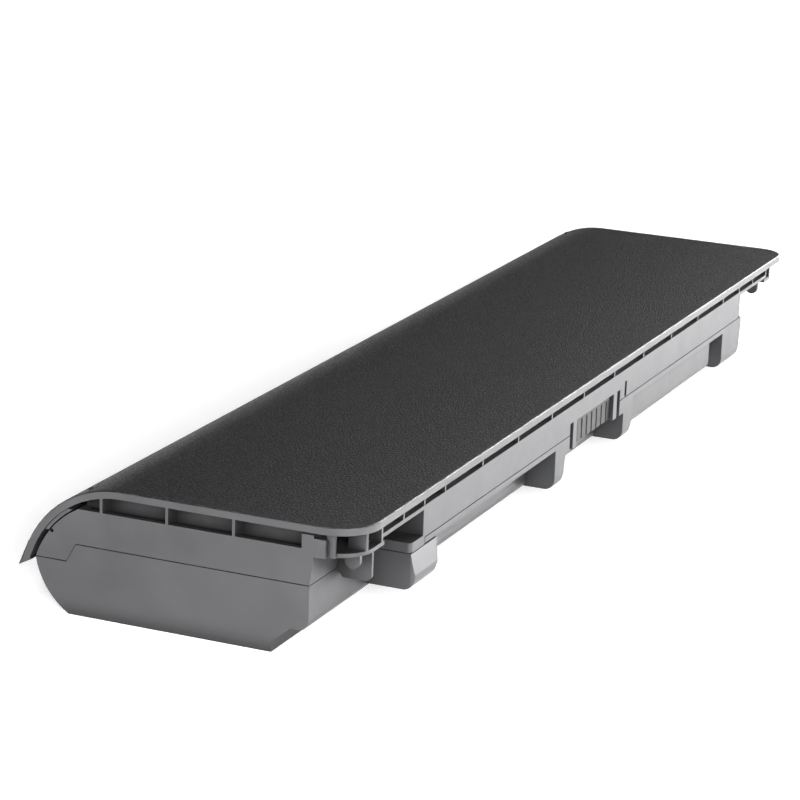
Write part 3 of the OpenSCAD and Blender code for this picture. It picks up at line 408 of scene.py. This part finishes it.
def worked_metal(name, dark, light, rough, mark_width, stretch):
    """Bare or plated metal, with marks as wide as is said that run the way it was drawn or rolled."""
    material, tree = new_material(name)
    where = add(tree, "ShaderNodeTexCoord").outputs["Object"]
    drawn = add(tree, "ShaderNodeMapping", inputs={"Vector": where, "Scale": stretch}).outputs[0]
    marks = add(tree, "ShaderNodeTexNoise", inputs={
        "Vector": drawn,
        "Scale": 1 / mark_width,
        "Detail": 4,
        "Roughness": finer_share,
    }).outputs["Fac"]
    tone = add(tree, "ShaderNodeMix", {"data_type": "RGBA"}, {
        mix_by: marks,
        colour_a: linear(dark),
        colour_b: linear(light),
    }).outputs[mixed_colour]
    gloss = add(tree, "ShaderNodeMapRange", inputs={
        "Value": marks,
        "To Min": rough - marks_glossier,
        "To Max": rough + marks_duller,
    }).outputs[0]
    bump = add(tree, "ShaderNodeBump", inputs={
        "Height": marks,
        "Strength": mark_bump,
        "Distance": mark_height,
    }).outputs[0]
    metal = add(tree, "ShaderNodeBsdfPrincipled", inputs={
        "Base Color": tone,
        "Metallic": 1,
        "Roughness": gloss,
        "Normal": bump,
    }).outputs[0]
    add(tree, "ShaderNodeOutputMaterial", inputs={"Surface": metal})
    return material


finish_node("contacts", worked_metal(
    "bronze_gold_plated", dark="#c79a4a", light="#e6bd6a", rough=0.24, mark_width=0.00015,
    stretch=(1, 0.1, 1)))


# Each cell is a steel can in a thin green PVC sleeve that was shrunk on with hot air. That leaves the film
# glossy, with faint ripples about 4 mm across.
patch_bump = 0.4
patches_glossier = 0.06
patches_duller = 0.06


def patchy_finish(name, dark, light, rough, patch, height, ior=1.5, sheen=0.0):
    """A material other than metal, whose colour, gloss and height change over patches of the given size."""
    material, tree = new_material(name)
    where = add(tree, "ShaderNodeTexCoord").outputs["Object"]
    patches = add(tree, "ShaderNodeTexNoise", inputs={
        "Vector": where,
        "Scale": 1 / patch,
        "Detail": 4,
        "Roughness": finer_share,
    }).outputs["Fac"]
    tone = add(tree, "ShaderNodeMix", {"data_type": "RGBA"}, {
        mix_by: patches,
        colour_a: linear(dark),
        colour_b: linear(light),
    }).outputs[mixed_colour]
    gloss = add(tree, "ShaderNodeMapRange", inputs={
        "Value": patches,
        "To Min": rough - patches_glossier,
        "To Max": rough + patches_duller,
    }).outputs[0]
    bump = add(tree, "ShaderNodeBump", inputs={
        "Height": patches,
        "Strength": patch_bump,
        "Distance": height,
    }).outputs[0]
    surface = add(tree, "ShaderNodeBsdfPrincipled", inputs={
        "Base Color": tone,
        "Roughness": gloss,
        "Normal": bump,
        "IOR": ior,
        "Sheen Weight": sheen,
    }).outputs[0]
    add(tree, "ShaderNodeOutputMaterial", inputs={"Surface": surface})
    return material


sleeve = patchy_finish(
    "pvc_sleeve_green", dark="#1d6b52", light="#24805f", rough=0.24, patch=0.004, height=0.00003, ior=1.53)
for number in range(1, 7):
    finish_node("cell_%d" % number, sleeve)


# The rings round the positive ends are punched from white fibre paper and lie on the ends of the cells.
# The fibres show as a soft mottle, 0.3 mm across.
finish_node("cell_rings", patchy_finish(
    "fibre_paper_white", dark="#dcd8c8", light="#efece0", rough=0.85, patch=0.0003, height=0.00002))


# The strips are thin rolled nickel, spot-welded to the ends of the cells. Rolling leaves fine lines across
# the pack, 0.08 mm apart.
nickel = worked_metal(
    "nickel_rolled", dark="#a9a49b", light="#c9c4ba", rough=0.3, mark_width=0.00008, stretch=(1, 0.04, 1))
for name in ("strip_plus", "strip_mid_1", "strip_mid_2", "strip_minus"):
    finish_node(name, nickel)


# The saddles under the cells and the spacers between their rows are moulded in black polypropylene.
# It is waxy, and slightly uneven every 2 mm or so.
polypropylene = patchy_finish(
    "polypropylene_black", dark="#1c1c1d", light="#262627", rough=0.45, patch=0.002, height=0.00002,
    ior=1.49)
for name in ("cell_saddles", "row_spacers"):
    finish_node(name, polypropylene)


# The board is glass-epoxy laminate under a glossy green solder mask. The weave of the glass cloth shows
# faintly through the mask.
laminate_ior = 1.55
mask_dark = "#0d4a2b"
mask_light = "#176b3f"
mask_rough = 0.26
thread_bump = 0.1
thread_height = 0.00001
thread_waviness = 0.4

# The threads are 0.5 mm apart in the real cloth, and are drawn 3.1 mm apart so that they show: a Wave node
# at scale 1 has a band every 2 pi / 20 m.
thread_scale = 100

material, tree = new_material("solder_mask_green")
where = add(tree, "ShaderNodeTexCoord").outputs["Object"]
warp = add(tree, "ShaderNodeTexWave", {"bands_direction": "X"}, {
    "Vector": where,
    "Scale": thread_scale,
    "Distortion": thread_waviness,
}).outputs["Fac"]
weft = add(tree, "ShaderNodeTexWave", {"bands_direction": "Z"}, {
    "Vector": where,
    "Scale": thread_scale,
    "Distortion": thread_waviness,
}).outputs["Fac"]
threads = add(tree, "ShaderNodeMath", {"operation": "MULTIPLY"}, {0: warp, 1: weft}).outputs[0]
tone = add(tree, "ShaderNodeMix", {"data_type": "RGBA"}, {
    mix_by: threads,
    colour_a: linear(mask_dark),
    colour_b: linear(mask_light),
}).outputs[mixed_colour]
bump = add(tree, "ShaderNodeBump", inputs={
    "Height": threads,
    "Strength": thread_bump,
    "Distance": thread_height,
}).outputs[0]
lacquer = add(tree, "ShaderNodeBsdfPrincipled", inputs={
    "Base Color": tone,
    "Roughness": mask_rough,
    "Normal": bump,
    "IOR": laminate_ior,
}).outputs[0]
add(tree, "ShaderNodeOutputMaterial", inputs={"Surface": lacquer})
finish_node("board", material)


# The chips, the transistors and the shunt are moulded in black epoxy and soldered to the board.
# The mould's matt blast finish is about 0.1 mm across.
epoxy = patchy_finish(
    "epoxy_black", dark="#161617", light="#232325", rough=0.6, patch=0.0001, height=0.00001, ior=1.55)
for name in ("gauge_chip", "protector_chip", "mosfets", "shunt"):
    finish_node(name, epoxy)


# The fuse is a fired white ceramic block, soldered to the board.
# It is faintly speckled every 0.2 mm.
finish_node("fuse", patchy_finish(
    "ceramic_white", dark="#d9d5c9", light="#ebe8df", rough=0.45, patch=0.0002, height=0.00001, ior=1.6))


# The small resistors and capacitors are tan fired ceramic, soldered to the board.
# They are speckled every 0.1 mm.
finish_node("chip_parts", patchy_finish(
    "ceramic_tan", dark="#7d5a39", light="#9c7550", rough=0.5, patch=0.0001, height=0.00001, ior=1.6))


# The thermistor is a bead that was dipped in black epoxy, and it rests on a cell.
# The dip dried smooth, with slow ripples 1 mm across.
finish_node("thermistor", patchy_finish(
    "epoxy_dipped", dark="#191919", light="#262626", rough=0.3, patch=0.001, height=0.00002, ior=1.55))


# The wires from the strips to the board have soft silicone jackets, red, black and orange.
# Extrusion leaves them slightly uneven, every 0.6 mm or so.
for name, dark, light in (
    ("lead_plus", "#9c1414", "#b51d1b"),
    ("lead_minus", "#141414", "#1f1f20"),
    ("sense_leads", "#b5591a", "#cf6c24"),
):
    finish_node(name, patchy_finish(
        "silicone_" + name, dark, light, rough=0.5, patch=0.0006, height=0.00001, ior=1.43))


# The insulation sheet between the cells and the board is vulcanised fibre paper, pressed flat.
# It is tan, with a cloudy 1.5 mm mottle.
finish_node("insulation_sheet", patchy_finish(
    "fish_paper", dark="#ab9363", light="#c2aa78", rough=0.8, patch=0.0015, height=0.00002))


# The pads that hold the cells against the cover are open-cell polyurethane foam.
# The cells of the foam are about 0.5 mm across.
finish_node("foam_pads", patchy_finish(
    "foam_dark_grey", dark="#2f2f31", light="#48484b", rough=0.95, patch=0.0005, height=0.0002, sheen=0.2))
